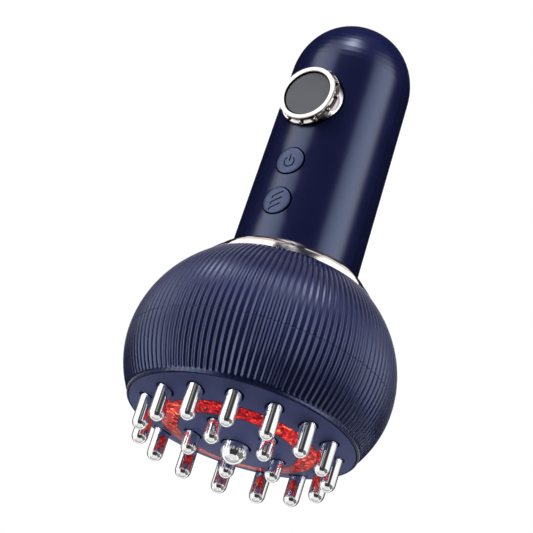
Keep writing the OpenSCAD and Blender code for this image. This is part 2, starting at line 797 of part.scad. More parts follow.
module motor_screws() {
    color(chrome) around(2, motor_screw_circle_r) translate([0, 0, bracket_z]) rotate([180, 0, 0])
        small_screw(bracket_t + motor_screw_bite);
}

module motor_shaft() {
    color(chrome) translate([0, 0, shaft_low_z])
        cylinder(d = shaft_d, h = bracket_top_z + shaft_in_motor - shaft_low_z);
}

// Half disc on a hub, pressed on the shaft below the bracket
module eccentric_weight() {
    color([0.55, 0.50, 0.42]) translate([0, 0, shaft_low_z]) difference() {
        union() {
            cylinder(r = shaft_d / 2 + 2, h = weight_t);
            intersection() {
                cylinder(r = weight_r, h = weight_t);
                translate([-weight_r, 0, 0]) cube([2 * weight_r, weight_r, weight_t]);
            }
        }
        translate([0, 0, -1]) cylinder(d = shaft_d, h = weight_t + 2);
    }
}

module bracket_screws() {
    color(chrome) at_turns(bracket_turns, post_circle_r)
        translate([0, 0, bracket_top_z]) case_screw(bracket_t + bracket_screw_bite);
}

// Points of a band from p to q that swells outwards by a bulge in its middle
function band(p, q, bulge, steps = 5) = let (d = q - p, out = [d[1], -d[0]] / norm(d))
    [for (k = [0:steps]) let (t = k / steps) p + d * t + out * bulge * 4 * t * (1 - t)];

// Flared metal ring: a wide lower band, a bead line and a narrow upper band, with a lip clamped inside
module collar() {
    lip_r = bore_radius(neck_z) + 0.1;
    color(champagne) rotate_extrude() polygon(concat(
        [[neck_r + 0.1, rib_top_z], [collar_low_r - 0.2, rib_top_z]],
        band([collar_low_r, rib_top_z + 0.2], [collar_mid_r + collar_bead, collar_mid_z - collar_bead],
            collar_low_bulge),
        band([collar_mid_r - collar_bead, collar_mid_z], [collar_top_r, collar_top_z - 0.15],
            collar_top_bulge),
        [[collar_top_r - 0.2, collar_top_z], [collar_bore_r, collar_top_z], [collar_bore_r, handle_foot_z],
         [lip_r, handle_foot_z], [lip_r, neck_z], [neck_r + 0.1, neck_z]]));
}

module handle_shell() {
    color(navy_satin) difference() {
        handle_solid(0, handle_foot_z);
        difference() {
            handle_solid(handle_wall, handle_foot_z - eps);
            around(case_screws, case_boss_circle_r, 180 / case_screws)
                translate([0, 0, foot_z]) cylinder(r = case_boss_r, h = case_boss_top_z - foot_z);
        }
        around(case_screws, case_boss_circle_r, 180 / case_screws)
            translate([0, 0, foot_z - 1]) cylinder(d = case_screw_d, h = case_screw_bite + 2.5);
        on_front(dial_z) translate([0, 0, board_front]) cylinder(r = dial_base_r + base_fit, h = far);
        for (z = [power_key_z, mode_key_z])
            on_front(z) translate([0, 0, board_front]) cylinder(r = key_r + key_gap, h = far);
        translate([0, port_front - port_depth, port_z]) rotate([-90, 0, 0])
            round_bar(port_w + 2 * port_gap, port_h + 2 * port_gap, far);
    }
}

module handle_screws() {
    color(chrome) around(case_screws, case_boss_circle_r, 180 / case_screws)
        translate([0, 0, neck_low_z]) rotate([180, 0, 0])
        case_screw(neck_z - neck_low_z + foot_t + case_screw_bite);
}

// Moulded frame: a foot clamped under the handle, a neck, and a channel that holds the battery
module chassis() {
    color([0.20, 0.20, 0.22]) difference() {
        union() {
            chassis_foot();
            chassis_plate(neck_half_w, neck_z, channel_z - neck_z + 1);
            chassis_plate(channel_half_w, channel_z, channel_h);
            for (x = [-channel_half_w, channel_half_w - chassis_wall])
                translate([x, -chassis_front, channel_z])
                cube([chassis_wall, battery_y + chassis_front, channel_h]);
            for (z = [channel_z, channel_z + channel_h - shelf_t])
                translate([-channel_half_w, -chassis_front, z])
                cube([2 * channel_half_w, shelf_depth, shelf_t]);
            for (z = board_screw_zs) on_front(z) translate([0, 0, chassis_front - eps])
                cylinder(r = small_screw_d + 0.2, h = standoff + eps);
        }
        for (z = board_screw_zs) on_front(z) cylinder(d = small_screw_d, h = far);
        lead_window_w = 2 * (terminal_x + lead_d / 2 + clear);
        translate([-lead_window_w / 2, -chassis_front - 1, lead_run_z - lead_d / 2 - clear])
            cube([lead_window_w, chassis_wall + 2, lead_d + 2 * clear]);
    }
}

// Upright plate of the chassis behind the main board
module chassis_plate(half_w, z, h) {
    translate([-half_w, -chassis_front, z]) cube([2 * half_w, chassis_wall, h]);
}

// Foot of the chassis: a disc with four arms under the handle's bosses, and the socket board's post
module chassis_foot() {
    arm_start = wire_bore_r + 1;
    difference() {
        translate([0, 0, neck_z]) {
            cylinder(r = foot_r, h = foot_t);
            around(case_screws, case_boss_circle_r, 180 / case_screws) {
                cylinder(r = case_boss_r - 0.6, h = foot_t);
                translate([arm_start - case_boss_circle_r, -foot_arm_w / 2, 0])
                    cube([case_boss_circle_r - arm_start, foot_arm_w, foot_t]);
            }
        }
        cylinder(r = wire_bore_r, h = far);
        around(case_screws, case_boss_circle_r, 180 / case_screws) case_hole(0);
    }
    translate([-socket_post, wire_bore_r + 0.6, neck_z + eps])
        cube([2 * socket_post, socket_post, socket_board_z - neck_z - eps]);
}

module battery() {
    edge = 0.6;
    cap_r = 3.2;
    cap_h = 0.8;
    color([0.20, 0.45, 0.70]) translate([0, battery_y, battery_z])
        rotate_extrude() polygon([[0, 0], [battery_r - edge, 0], [battery_r, edge],
            [battery_r, battery_l - cap_h - edge], [battery_r - edge, battery_l - cap_h],
            [cap_r, battery_l - cap_h], [cap_r, battery_l], [0, battery_l]]);
}

// Main board with its parts: controller, charger, coil, connector and the sensor behind the magnet ring
module main_board() {
    color(board_green) difference() {
        translate([-board_half_w, -board_front, board_low_z])
            cube([2 * board_half_w, board_t, board_top_z - board_low_z]);
        for (z = board_screw_zs) on_front(z) cylinder(d = small_screw_d + 2 * screw_gap, h = far);
    }
    mid_z = (power_key_z + mode_key_z) / 2;
    color(black) {
        board_part(8, mid_z - 1, 5, 7, 1.2);
        board_part(-8, mid_z, 4, 4, 1.6);
        board_part(-8.5, power_key_z + 7.5, 4.4, 3.2, 1.4);
        board_part(8.5, power_key_z + 7, 3.2, 3.2, 1.0);
        board_part(0, dial_z + sleeve_r + magnet_wall / 2, 2.4, magnet_wall, 0.9);
    }
}

// Part on the front of the main board: place x and z, width, height and thickness
module board_part(x, z, w, h, t) {
    translate([x - w / 2, -board_front - t, z - h / 2]) cube([w, t + eps, h]);
}

module board_screws() {
    color(chrome) for (z = board_screw_zs) on_front(z) translate([0, 0, board_front])
        small_screw(board_t + standoff + chassis_wall);
}

// Key: a cap that follows the handle's roundness, with a lip behind the wall
module key(z) {
    back = key_lip_front(z) - key_lip_t;
    color(key_blue) {
        intersection() {
            on_front(z) translate([0, 0, back]) cylinder(r = key_r, h = far);
            handle_solid(-key_proud, handle_foot_z);
        }
        on_front(z) translate([0, 0, back]) cylinder(r = key_lip_r, h = key_lip_t);
    }
}

// Plunger between a key and the floor of its switch
module plunger(z) {
    color([0.85, 0.80, 0.70]) on_front(z) translate([0, 0, plunger_low])
        cylinder(r = plunger_r, h = key_lip_front(z) - key_lip_t - plunger_low);
}

// Square switch body with a bore for its plunger
module switch(z) {
    color(black) on_front(z) difference() {
        translate([-switch_w / 2, -switch_w / 2, board_front]) cube([switch_w, switch_w, switch_h]);
        translate([0, 0, switch_floor]) cylinder(r = plunger_r + plunger_gap, h = far);
    }
}

module power_button() { key(power_key_z); }
module mode_button() { key(mode_key_z); }
module power_plunger() { plunger(power_key_z); }
module mode_plunger() { plunger(mode_key_z); }
module power_switch() { switch(power_key_z); }
module mode_switch() { switch(mode_key_z); }

// Fixed metal base of the dial, with a saddle that seats behind the handle's wall
module dial_base() {
    color(champagne) difference() {
        union() {
            on_front(dial_z) translate([0, 0, saddle_back])
                cylinder(r = dial_base_r, h = dial_base_front - saddle_back);
            intersection() {
                on_front(dial_z) translate([0, 0, saddle_back]) cylinder(r = saddle_r, h = far);
                handle_solid(handle_wall + saddle_fit, handle_foot_z);
            }
        }
        on_front(dial_z) {
            cylinder(r = base_bore_r, h = far);
            cylinder(r = step_r, h = step_low);
        }
    }
}

// Turning crown: a rounded front ring, finger scoops behind it, and arms that end in beads
module dial_ring() {
    steps = 8;
    scoop = [for (k = [0:steps]) let (t = k / steps, z = dial_bottom + crown_chamfer)
        [dial_low_r + (dial_front_r - dial_low_r) * t - scoop_depth * sin(180 * t),
         z + (bezel_low - z) * t]];
    bezel = [for (k = [0:steps]) let (a = 180 * k / steps)
        [bezel_mid_r + (dial_front_r - bezel_mid_r) * cos(a), dial_front - bezel_round * (1 - sin(a))]];
    color(champagne) on_front(dial_z) {
        rotate_extrude() polygon(concat([[sleeve_bore_r, magnet_low], [sleeve_r, magnet_low],
            [sleeve_r, dial_bottom], [dial_low_r - crown_chamfer, dial_bottom]], scoop, bezel));
        around(dial_scoops, arm_circle_r) translate([0, 0, bead_z]) {
            cylinder(d = arm_d, h = bezel_low + bezel_round / 2 - bead_z, $fn = 32);
            translate([-arm_d, -arm_d / 2, 0]) cube([arm_d, arm_d, bezel_low - bead_z + eps]);
        }
        around(dial_scoops, bead_circle_r) translate([0, 0, bead_z]) sphere(d = bead_d, $fn = 32);
    }
}

module dial_magnet() {
    color([0.30, 0.30, 0.32]) on_front(dial_z) translate([0, 0, magnet_low])
        ring(sleeve_r, sleeve_r + magnet_wall, magnet_h);
}

// Fixed cup inside the sleeve that carries the display and the window
module display_holder() {
    color(black) on_front(dial_z) difference() {
        translate([0, 0, board_front]) cylinder(r = window_r, h = holder_front - board_front);
        translate([0, 0, display_back]) cylinder(r = window_r - holder_wall, h = far);
        cylinder(r = window_r - 2 * holder_wall, h = far);
    }
}

module display_board() {
    color(board_green) on_front(dial_z) translate([0, 0, display_back])
        cylinder(r = window_r - holder_wall - 0.1, h = display_t);
    color(black) on_front(dial_z) translate([-screen_w / 2, -screen_h / 2, display_back + display_t - eps])
        cube([screen_w, screen_h, screen_t]);
}

module display_window() {
    color([0.38, 0.39, 0.42]) on_front(dial_z) translate([0, 0, holder_front])
        cylinder(r = window_r, h = window_t);
}

// Charging socket: a metal shell with round ends and a contact tongue
module charging_socket() {
    floor_t = 1;
    tongue_start = 1.2;
    color([0.70, 0.70, 0.72]) translate([0, port_front, port_z]) rotate([90, 0, 0]) {
        difference() {
            round_bar(port_w, port_h, port_depth);
            translate([0, 0, -floor_t]) round_bar(port_w - 2 * port_wall, port_h - 2 * port_wall, port_depth);
        }
        translate([-port_w * 0.375, -0.35, tongue_start])
            cube([port_w * 0.75, 0.7, port_depth - floor_t / 2 - tongue_start]);
    }
}

module socket_board() {
    start = wire_bore_r + 0.6;
    color(board_green) translate([-socket_board_half_w, start, socket_board_z])
        cube([2 * socket_board_half_w, socket_board_end - start, socket_board_t]);
}

// Leads from the main board down through the foot: one pair to the motor, one to the heating film
module wire_harness() {
    color([0.75, 0.12, 0.12]) for (s = [-1, 1]) {
        low = turned([s * film_lead_x, film_lead_r], film_turn);
        top = turned([s * film_lead_x, film_lead_top_r], film_turn);
        lead([[s * terminal_x, motor_lead_y, motor_top_z + 0.5], [s * terminal_x, motor_lead_y, lead_run_z],
            [s * terminal_x, -board_back, lead_run_z]]);
        lead([[low[0], low[1], heater_top_z + film_t], [low[0], low[1], film_step_z],
            [top[0], top[1], film_step_z + film_step_h], [top[0], top[1], lead_run_z],
            [top[0], -board_back, lead_run_z]]);
    }
}

// Point of the plane turned about the origin
function turned(p, turn) = [p[0] * cos(turn) - p[1] * sin(turn), p[0] * sin(turn) + p[1] * cos(turn)];

// Round lead with a ball elbow at each inner point
module lead(points) {
    for (i = [0 : len(points) - 2]) {
        run = points[i + 1] - points[i];
        translate(points[i]) rotate([0, acos(run[2] / norm(run)), atan2(run[1], run[0])]) {
            cylinder(d = lead_d, h = norm(run));
            if (i > 0) sphere(d = elbow_d);
        }
    }
}

lower_housing();
upper_housing();
face_plate();
light_ring();
centre_disc();
for (i = [1:outer_pins]) outer_pin(i);
for (i = [1:inner_pins]) inner_pin(i);
centre_dome();
heater_plate();
heating_film();
led_board();
face_screws();
face_gasket();
motor_bracket();
motor();
motor_screws();
motor_shaft();
eccentric_weight();
bracket_screws();
collar();
handle_shell();
handle_screws();
chassis();
battery();
main_board();
board_screws();
power_button();
mode_button();
power_plunger();
mode_plunger();
power_switch();
mode_switch();
dial_base();
dial_ring();
dial_magnet();
display_holder();
display_board();
display_window();
charging_socket();
socket_board();
wire_harness();
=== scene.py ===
"""Studio scene of the heated body massage brush, around the CAD solids of the frame.

The two ribbed halves of the head get finer meshes here. All other pieces keep their CAD mesh, and
every piece gets a procedural material. Masks in the materials are in the frame's millimetres.
"""
import json
import math

import bpy
import numpy as np
from mathutils import Matrix, Vector

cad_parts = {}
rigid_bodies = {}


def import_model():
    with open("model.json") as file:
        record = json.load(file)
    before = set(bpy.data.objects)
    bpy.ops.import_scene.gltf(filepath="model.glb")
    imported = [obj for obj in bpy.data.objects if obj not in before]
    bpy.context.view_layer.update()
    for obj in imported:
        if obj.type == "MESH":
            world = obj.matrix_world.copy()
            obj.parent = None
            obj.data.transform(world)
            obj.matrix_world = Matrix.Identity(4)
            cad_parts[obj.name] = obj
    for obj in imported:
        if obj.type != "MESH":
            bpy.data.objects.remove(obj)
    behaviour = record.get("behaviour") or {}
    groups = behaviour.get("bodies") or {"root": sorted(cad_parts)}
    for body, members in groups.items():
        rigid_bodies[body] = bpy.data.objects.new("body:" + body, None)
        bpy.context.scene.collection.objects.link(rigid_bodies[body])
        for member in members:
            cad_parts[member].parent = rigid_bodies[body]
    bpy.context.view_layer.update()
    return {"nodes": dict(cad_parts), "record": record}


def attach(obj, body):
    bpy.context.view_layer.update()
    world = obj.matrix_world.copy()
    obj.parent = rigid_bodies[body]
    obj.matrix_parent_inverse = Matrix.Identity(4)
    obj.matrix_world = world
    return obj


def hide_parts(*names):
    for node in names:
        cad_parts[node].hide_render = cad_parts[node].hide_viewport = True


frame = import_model()
nodes = frame["nodes"]
scene = bpy.context.scene
MM = 0.001

# The ribbed head, in millimetres: half an ellipse below the parting line and half of one above it
HEAD_R, HEAD_LOW_B, HEAD_TOP_B = 42.498, 36.8, 39.2
RIM_Z, RIB_LOW_Z, MID_Z, RIB_TOP_Z = 12.4051, 13.4051, 31.6051, 60.6051
RIM_R, FACE_R = 36.9385, 36.3385
LIGHT_IN_R, LIGHT_OUT_R = 18.95, 25.3
HEAD_WALL, HALF_GAP, EDGE_EASE = 2.0, 0.03, 0.12
RIBS, RIB_DEPTH, RIB_FADE, RIB_SAMPLES = 120, 0.38, 0.9, 12
SHARP_DEGREES = 40.0

# The collar and the front of the handle, in millimetres. The front is at -Y.
COLLAR_LOW_Z, COLLAR_STEP_Z, COLLAR_TOP_Z = 60.8, 63.85, 66.9
POWER_KEY_Z, MODE_KEY_Z, DIAL_Z = 95.1051, 80.6051, 118.505
KEY_R, KEY_HOLE_R = 4.65, 5.0
DIAL_HOLE_R, DIAL_BORE_R, DIAL_FOOT_R = 10.15, 8.0, 19.8
BORE_Y, ARM_Y, SCOOP_Y, BEZEL_Y = -19.2, -20.4, -21.78, -22.5
DIAL_ARMS, ARM_HALF = 12, 0.66
BELOW_DIAL_Z = 100.0

# Looks
NAVY_BLACK = (0.001, 0.001, 0.004)
SHEEN = {"Specular_IOR_Level": 0.135, "Specular_Tint": (0.58, 0.70, 1.0, 1.0)}
SATIN = ("head_plastic", "handle_plastic", "face_plastic", "key_plastic")
METAL = ("pin_chrome", "trim_metal")
HEAD = ("head_plastic",)

# The studio, in metres and degrees. Bearings count from the side on which the camera stands.
CAMERA_TURN = -56.5
STUDIO_CENTRE = Vector((0.0, 0.0, 0.06))
# Clear cards at one distance would cut each other out where they overlap, so they differ.
TOP_AT, CARD_AT, LIFT_AT, CROWN_AT, FLAG_AT = 1.1, 1.2, 1.3, 1.45, 1.7
CARD_LIGHT = 14.3
LAMP_LEVEL = 14.0
WORLD_LEVEL = 0.12
FLOOR_HALF, FLOOR_Z = 0.9, -0.0002
FLOOR_FADE = 0.08, 0.5
WHITE = (1, 1, 1, 1)


# ---------------------------------------------------------------- camera

def make_camera():
    """Camera whose lens, place and turn were fitted to points and outlines of the photograph."""
    data = bpy.data.cameras.new("camera")
    data.sensor_width = 36.0
    data.lens = 185.22169
    data.clip_start, data.clip_end = 0.01, 20.0
    cam = bpy.data.objects.new("camera", data)
    right = (0.85689803, 0.43117116, 0.28251937)
    up = (-0.04211054, -0.48768115, 0.87200562)
    back = (0.51376305, -0.75911694, -0.39973617)
    eye = (0.43378822603, -0.65509781601, -0.27694781124)
    cam.matrix_world = Matrix([*zip(right, up, back, eye), (0, 0, 0, 1)])
    scene.collection.objects.link(cam)
    scene.camera = cam


# ---------------------------------------------------------------- nodes

class Tree:
    """The emptied node tree of a material or world, with short ways to add and join nodes."""

    def __init__(self, block):
        block.use_nodes = True
        self.tree = block.node_tree
        self.tree.nodes.clear()

    def add(self, kind, **props):
        node = self.tree.nodes.new(kind)
        for key, value in props.items():
            setattr(node, key, value)
        return node

    def link(self, a, b):
        self.tree.links.new(a, b)

    def fill(self, socket, value):
        """Sets the socket to a value, or links the output of another node to it."""
        if isinstance(value, bpy.types.NodeSocket):
            self.link(value, socket)
        else:
            socket.default_value = value

    def math(self, op, a, b=None, clamp=False):
        node = self.add("ShaderNodeMath", operation=op, use_clamp=clamp)
        self.fill(node.inputs[0], a)
        if b is not None:
            self.fill(node.inputs[1], b)
        return node.outputs[0]

    def chain(self, op, values):
        total = values[0]
        for value in values[1:]:
            total = self.math(op, total, value)
        return total

    def times(self, *values):
        return self.chain("MULTIPLY", values)

    def most(self, *values):
        return self.chain("MAXIMUM", values)

    def least(self, *values):
        return self.chain("MINIMUM", values)

    def plus(self, a, b, clamp=False):
        return self.math("ADD", a, b, clamp)

    def minus(self, a, b):
        return self.math("SUBTRACT", a, b)

    def off(self, a, b):
        """How far a is off b, on either side."""
        return self.math("ABSOLUTE", self.minus(a, b))

    def away(self, u, v):
        """Distance of the point u, v from 0, 0."""
        return self.math("SQRT", self.plus(self.times(u, u), self.times(v, v)))

    def span(self, value, low, high, to_low=0.0, to_high=1.0, kind="LINEAR"):
        """to_low up to low and to_high from high on, with an even change between."""
        node = self.add("ShaderNodeMapRange", interpolation_type=kind)
        ends = {"From Min": low, "From Max": high, "To Min": to_low, "To Max": to_high}
        for key, end in ends.items():
            node.inputs[key].default_value = end
        self.link(value, node.inputs["Value"])
        return node.outputs[0]

    def step(self, value, low, high, to_low=0.0, to_high=1.0):
        """The same as span, with a soft change between."""
        return self.span(value, low, high, to_low, to_high, "SMOOTHSTEP")

    def ramp(self, fac, stops):
        """Colour by fac. Each stop is a place from 0 to 1 and a colour."""
        node = self.add("ShaderNodeValToRGB")
        elements = node.color_ramp.elements
        while len(elements) < len(stops):
            elements.new(0.5)
        for element, (at, colour) in zip(elements, stops):
            element.position = at
            element.color = (*colour, 1)
        self.link(fac, node.inputs[0])
        return node.outputs[0]

    def split(self, vector):
        node = self.add("ShaderNodeSeparateXYZ")
        self.link(vector, node.inputs[0])
        return node.outputs

    def either(self, fac, first, second, out):
        """Sends out the first shader where fac is 0 and the second where it is 1."""
        node = self.add("ShaderNodeMixShader")
        for socket, source in zip(node.inputs, (fac, first.outputs[0], second.outputs[0])):
            self.link(source, socket)
        self.link(node.outputs[0], out.inputs[0])


class Mat(Tree):
    """A procedural material around one Principled shader."""

    def __init__(self, name, colour, rough, **sockets):
        self.name = name
        self.mat = bpy.data.materials.new(name)
        super().__init__(self.mat)
        self.shader = self.add("ShaderNodeBsdfPrincipled")
        self.link(self.shader.outputs[0], self.add("ShaderNodeOutputMaterial").inputs[0])
        for key, value in {"Base_Color": (*colour, 1), "Roughness": rough, **sockets}.items():
            self.shader.inputs[key.replace("_", " ")].default_value = value
        self.coord = self.add("ShaderNodeTexCoord").outputs["Object"]
        self.normal = None

    def stretched(self, scale):
        """Object coordinates times scale, so a small number draws a pattern out along that axis."""
        node = self.add("ShaderNodeMapping")
        node.inputs["Scale"].default_value = scale
        self.link(self.coord, node.inputs["Vector"])
        return node.outputs[0]

    def axes(self):
        """Place in millimetres: X to the right, Y to the rear, Z up."""
        return self.split(self.stretched((1 / MM, 1 / MM, 1 / MM)))

    def noise(self, size, detail=3.0, vector=None, roughness=0.55):
        """Noise whose features are about size metres across."""
        node = self.add("ShaderNodeTexNoise")
        node.inputs["Scale"].default_value = 1.0 / size
        node.inputs["Detail"].default_value = detail
        node.inputs["Roughness"].default_value = roughness
        self.link(vector or self.coord, node.inputs["Vector"])
        return node.outputs["Fac"]

    def cells(self, size, feature="F1"):
        """Cells about size metres across."""
        node = self.add("ShaderNodeTexVoronoi", feature=feature)
        node.inputs["Scale"].default_value = 1.0 / size
        self.link(self.coord, node.inputs["Vector"])
        return node

    def mix(self, fac, a, b):
        """Colour a where fac is 0 and b where it is 1. Each is a socket or three numbers."""
        node = self.add("ShaderNodeMix", data_type="RGBA")
        for index, value in ((0, fac), (6, a), (7, b)):
            self.fill(node.inputs[index], (*value, 1) if isinstance(value, tuple) else value)
        return node.outputs[2]

    def colour(self, socket):
        self.link(socket, self.shader.inputs["Base Color"])

    def tint(self, mask, shade):
        """Turns the colour so far to shade where mask is 1."""
        so_far = self.shader.inputs["Base Color"].links[0].from_socket
        self.colour(self.mix(mask, so_far, shade))

    def darken(self, mask, shade):
        """Tints, and takes the gloss away where mask is 1."""
        self.tint(mask, shade)
        level = self.shader.inputs["Specular IOR Level"]
        self.link(self.span(mask, 0.0, 1.0, level.default_value, 0.0), level)

    def rough(self, fac, low, high):
        """Roughness between low and high, by fac."""
        self.link(self.span(fac, 0.0, 1.0, low, high), self.shader.inputs["Roughness"])

    def turn_normal(self, socket):
        self.normal = socket
        self.link(socket, self.shader.inputs["Normal"])

    def bump(self, height, distance):
        """Relief of up to distance metres, on top of the relief so far."""
        node = self.add("ShaderNodeBump")
        node.inputs["Strength"].default_value = 1.0
        node.inputs["Distance"].default_value = distance
        self.link(height, node.inputs["Height"])
        if self.normal:
            self.link(self.normal, node.inputs["Normal"])
        self.turn_normal(node.outputs[0])

    def lean(self, mask, share, way):
        """Turns the shading normal towards way by share, where mask is 1."""
        node = self.add("ShaderNodeMix", data_type="VECTOR")
        self.link(self.times(mask, share), node.inputs[0])
        self.link(self.add("ShaderNodeNewGeometry").outputs["Normal"], node.inputs[4])
        node.inputs[5].default_value = way
        unit = self.add("ShaderNodeVectorMath", operation="NORMALIZE")
        self.link(node.outputs[1], unit.inputs[0])
        self.turn_normal(unit.outputs[0])

    def from_stroke(self, u, v, a, b):
        """Distance from the straight stroke between the points a and b."""
        du, dv = b[0] - a[0], b[1] - a[1]
        pu, pv = self.minus(u, a[0]), self.minus(v, a[1])
        share = 1 / (du * du + dv * dv)
        t = self.plus(self.times(pu, du * share), self.times(pv, dv * share), clamp=True)
        return self.away(self.minus(pu, self.times(t, du)), self.minus(pv, self.times(t, dv)))


# ---------------------------------------------------------------- materials

def shaded(colour, share):
    return tuple(c * share for c in colour)


def moulded(name, colour, rough, spread=0.03, grain=0.00025, depth=0.000006, **sockets):
    """Moulded plastic: a fine spark-eroded grain, faint flow marks and slightly uneven gloss."""
    m = Mat(name, colour, rough, **sockets)
    m.colour(m.ramp(m.noise(0.012, 2), [(0.3, shaded(colour, 0.93)), (0.7, shaded(colour, 1.07))]))
    m.rough(m.noise(0.006, 4), rough - spread, rough + spread)
    m.bump(m.noise(grain, 2), depth)
    return m


def plated(name, colour, rough, low, high):
    """Plating with faint handling haze and a roughness between low and high."""
    m = Mat(name, colour, rough, Metallic=1.0)
    m.colour(m.ramp(m.noise(0.004, 5), [(0.35, shaded(colour, 0.96)), (0.75, colour)]))
    m.rough(m.noise(0.0025, 6), low, high)
    return m


def hairlines(m):
    """Fine polishing marks that run upwards."""
    m.bump(m.noise(0.0008, 4, vector=m.stretched((1, 1, 0.06))), 0.0000012)


def sheet_metal(name, colour, rough, stretch=(1, 1, 12)):
    """Rolled or turned metal with lines. stretch is largest across them."""
    m = Mat(name, colour, rough, Metallic=1.0)
    lines = m.noise(0.0012, 6, vector=m.stretched(stretch))
    m.colour(m.ramp(lines, [(0.3, shaded(colour, 0.82)), (0.7, colour)]))
    m.rough(lines, rough - 0.08, rough + 0.1)
    m.bump(lines, 0.00001)
    return m


def head_material():
    """Matt navy moulding, with painted shade in the grooves between the ribs near the collar, less
    so below.
    """
    m = moulded("head_plastic", (0.0078, 0.0092, 0.042), 0.26, **SHEEN)
    x, y, z = m.axes()
    full_turn = 2 * math.pi
    turns = m.times(m.plus(m.math("ARCTAN2", y, x), full_turn), RIBS / full_turn)
    groove = m.step(m.off(m.math("MODULO", turns, 1.0), 0.5), 0.36, 0.08)
    near_collar = m.times(m.step(z, 45.0, 53.0), 0.75)
    near_rim = m.times(m.step(z, 38.0, 24.0), 0.3)
    # Painted shade: the grooves turn near black and lose their gloss
    m.darken(m.times(groove, m.most(near_collar, near_rim)), NAVY_BLACK)
    return m


def handle_material():
    """Satin navy handle. The walls of the holes for the keys, and a ring round the dial's hole, get
    painted shade.
    """
    m = moulded("handle_plastic", (0.0056, 0.0069, 0.031), 0.22, spread=0.015, depth=0.000003,
                **SHEEN)
    x, y, z = m.axes()
    key_off = m.least(*[m.away(x, m.minus(z, key_z)) for key_z in (POWER_KEY_Z, MODE_KEY_Z)])
    key_walls = m.step(key_off, KEY_HOLE_R + 0.08, KEY_HOLE_R + 0.02)
    around_dial = m.step(m.away(x, m.minus(z, DIAL_Z)), DIAL_HOLE_R + 0.6, DIAL_HOLE_R + 0.05)
    front = m.step(y, 0.0, -1.0)
    # Painted shade on the key holes' walls and a painted contact shadow round the dial
    m.darken(m.times(m.most(key_walls, around_dial), front), (0.001, 0.001, 0.002))
    return m


def standby_sign(m, x, up):
    """Distances from the power key's sign: a ring that is open at the top, and a stroke in it."""
    ring_r, ring_low, gap = 1.72, 0.45, (0.52, 0.6)
    v = m.plus(up, ring_low)
    turn = m.math("ABSOLUTE", m.math("ARCTAN2", x, v))
    ring = m.off(m.away(x, v), ring_r)
    in_gap = m.minus(1.0, m.step(turn, *gap))
    return [m.plus(ring, m.times(in_gap, 2.0)), m.from_stroke(x, up, (0.0, 2.1), (0.0, -0.1))]


def heat_sign(m, x, up):
    """Distances from the mode key's sign: three slanted strokes, each with a short hook."""
    marks = []
    for rise in (2.3, 0.15, -2.0):
        left, right = (-1.65, rise - 0.95), (1.6, rise + 1.0)
        marks.append(m.from_stroke(x, up, left, right))
        marks.append(m.from_stroke(x, up, left, (left[0] + 0.1, left[1] - 0.6)))
    return marks


def key_material():
    """Blue grey keys, with a dark sunk sign on each and painted shade on the outer wall."""
    m = Mat("key_plastic", (0.03, 0.038, 0.082), 0.4, **SHEEN)
    stops = [(0.3, (0.027, 0.035, 0.076)), (0.7, (0.033, 0.041, 0.088))]
    m.colour(m.ramp(m.noise(0.003, 3), stops))
    x, _, z = m.axes()
    power, mode = m.minus(z, POWER_KEY_Z), m.minus(z, MODE_KEY_Z)
    sign = m.least(*standby_sign(m, x, power), *heat_sign(m, x, mode))
    sunk = m.minus(1.0, m.step(sign, 0.1, 0.26))
    edge = m.least(m.away(x, power), m.away(x, mode))
    wall = m.step(edge, KEY_R - 0.14, KEY_R - 0.02)
    # The signs are dark; the outer wall's darkness is painted shade
    m.darken(m.most(sunk, wall), NAVY_BLACK)
    m.rough(m.noise(0.004, 4), 0.37, 0.43)
    m.bump(m.noise(0.00025, 2), 0.000004)
    m.bump(m.minus(m.step(sign, 0.05, 0.32), m.step(edge, KEY_R - 0.7, KEY_R)), 0.00012)
    return m


def pin_material():
    """Mirror-bright pins."""
    m = plated("pin_chrome", (0.97, 0.97, 0.98), 0.04, 0.024, 0.06)
    hairlines(m)
    return m


def dial_painted_shade(m, x, y, z, on_dial):
    """Mask of the painted shade on the dial: in its bore, at its foot, on what faces down (a
    painted dark reflection), and in its creases.
    """
    v = m.minus(z, DIAL_Z)
    r = m.away(x, v)
    bore = m.times(m.step(r, DIAL_BORE_R + 0.04, DIAL_BORE_R), m.step(y, BORE_Y + 0.2, BORE_Y))
    foot = m.times(m.step(m.away(x, y), DIAL_FOOT_R + 0.2, DIAL_FOOT_R), on_dial)
    facing = m.split(m.add("ShaderNodeTexCoord").outputs["Normal"])
    under = m.times(m.step(facing[2], -0.45, -0.9), 0.93, on_dial)

    # Painted shade in the creases: the bottom of the scoops, and the two flanks of each arm
    bottom = m.step(m.off(y, SCOOP_Y), 0.3, 0.12)
    pitch = 2 * math.pi / DIAL_ARMS
    bearing = m.plus(m.math("ARCTAN2", v, x), 2 * math.pi + pitch / 2)
    from_arm = m.times(m.off(m.math("MODULO", bearing, pitch), pitch / 2), r)
    flank = m.times(m.step(m.off(from_arm, ARM_HALF), 0.26, 0.12),
                    m.step(y, ARM_Y + 0.2, ARM_Y), m.step(y, BEZEL_Y + 0.4, BEZEL_Y + 0.6))
    crease = m.times(m.most(bottom, flank), m.step(r, DIAL_BORE_R + 0.3, DIAL_BORE_R + 0.5))
    return m.most(bore, foot, under, crease)


